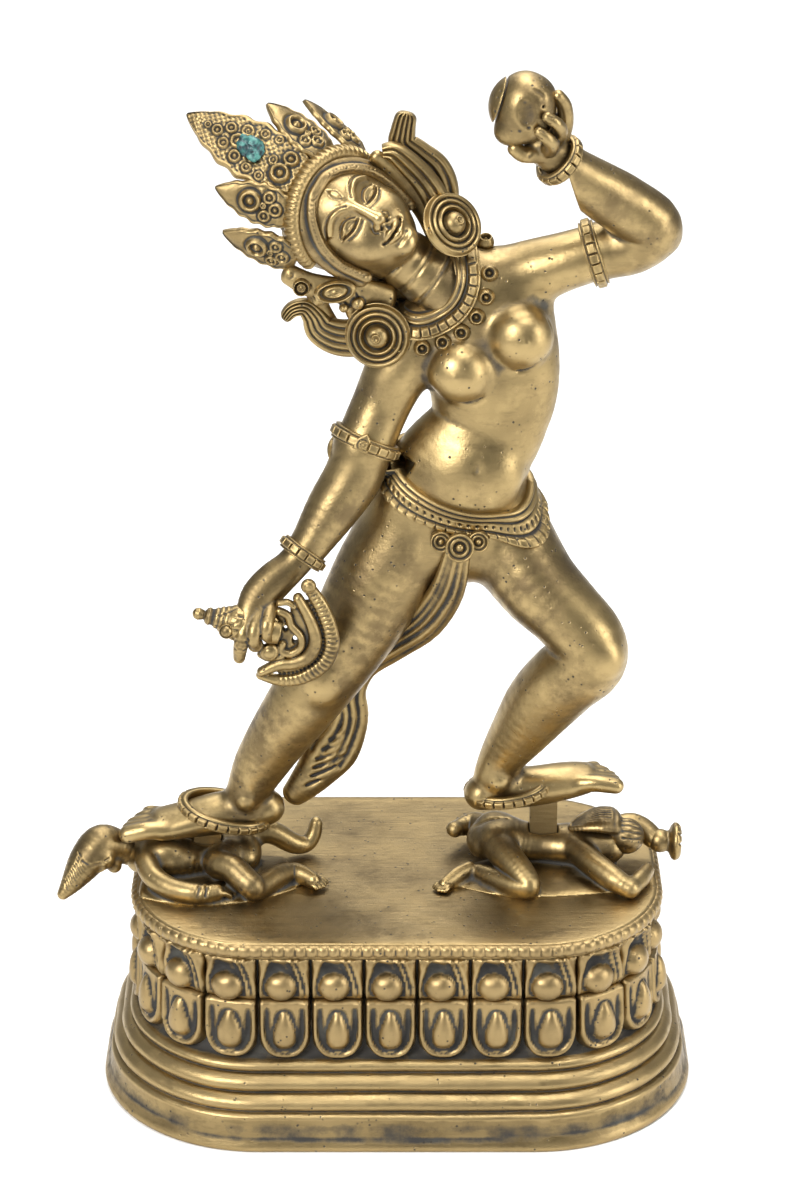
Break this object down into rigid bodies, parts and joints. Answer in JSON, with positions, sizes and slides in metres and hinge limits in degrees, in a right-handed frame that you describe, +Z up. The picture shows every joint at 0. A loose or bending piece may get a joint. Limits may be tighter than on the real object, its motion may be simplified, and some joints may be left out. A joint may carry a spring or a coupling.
{
  "type": "brass dancer statuette",
  "caption": "Cast brass figure of a lunging dancer with a leafed crown, a curved blade and a raised cup, plugged by foot tangs into fallen figures on a long lotus base.",
  "frame": {"origin": "middle of the base's flat underside", "axes": "+X to the dancer's left, which is the viewer's right; +Y to her back; +Z up. The front of the base faces -Y."},
  "size_m": [0.1643, 0.1, 0.2711],
  "materials": {
    "aged_brass": "worn satin, rubbed bright on high points, dark in the recesses",
    "dark_brass": "dark patina with rubbed high points",
    "copper_plate": "dull sheet copper",
    "turquoise": "broken stone"
  },
  "bodies": {
    "base": {"lotus_base": "aged_brass", "lower_petals": "dark_brass", "upper_petals": "dark_brass", "bead_rim": "aged_brass", "seal_plate": "copper_plate", "fallen_man": "aged_brass", "fallen_man_head": "aged_brass", "fallen_woman": "aged_brass", "fallen_woman_hair": "dark_brass", "fallen_woman_hand": "aged_brass"},
    "figure": {"torso": "aged_brass", "right_forearm": "aged_brass", "left_forearm": "aged_brass", "right_hand": "aged_brass", "left_hand": "aged_brass", "right_leg": "aged_brass", "left_leg": "aged_brass", "right_foot": "aged_brass", "left_foot": "aged_brass", "right_tang": "aged_brass", "left_tang": "aged_brass", "head": "aged_brass", "hair": "dark_brass", "crown_band": "aged_brass", "crown_leaf_middle": "aged_brass", "crown_leaf_right_inner": "aged_brass", "crown_leaf_right_outer": "aged_brass", "crown_leaf_left_inner": "aged_brass", "crown_leaf_left_outer": "aged_brass", "crown_inlay": "turquoise", "right_ear_disc": "aged_brass", "left_ear_disc": "aged_brass", "right_ribbon": "aged_brass", "left_ribbon": "aged_brass", "collar": "aged_brass", "collar_pendants": "aged_brass", "right_armlet": "aged_brass", "left_armlet": "aged_brass", "right_bracelet": "aged_brass", "left_bracelet": "aged_brass", "girdle": "aged_brass", "girdle_clasp": "aged_brass", "sash": "aged_brass", "right_anklet": "aged_brass", "left_anklet": "aged_brass", "knife_blade": "aged_brass", "knife_hilt": "aged_brass", "skull_cup": "aged_brass", "cup_contents": "aged_brass"}
  },
  "joints": [
    {"name": "figure_lift", "type": "slide", "parent": "base", "child": "figure", "axis": [0, 0, 1], "range_m": [0, 0.03]}
  ]
}
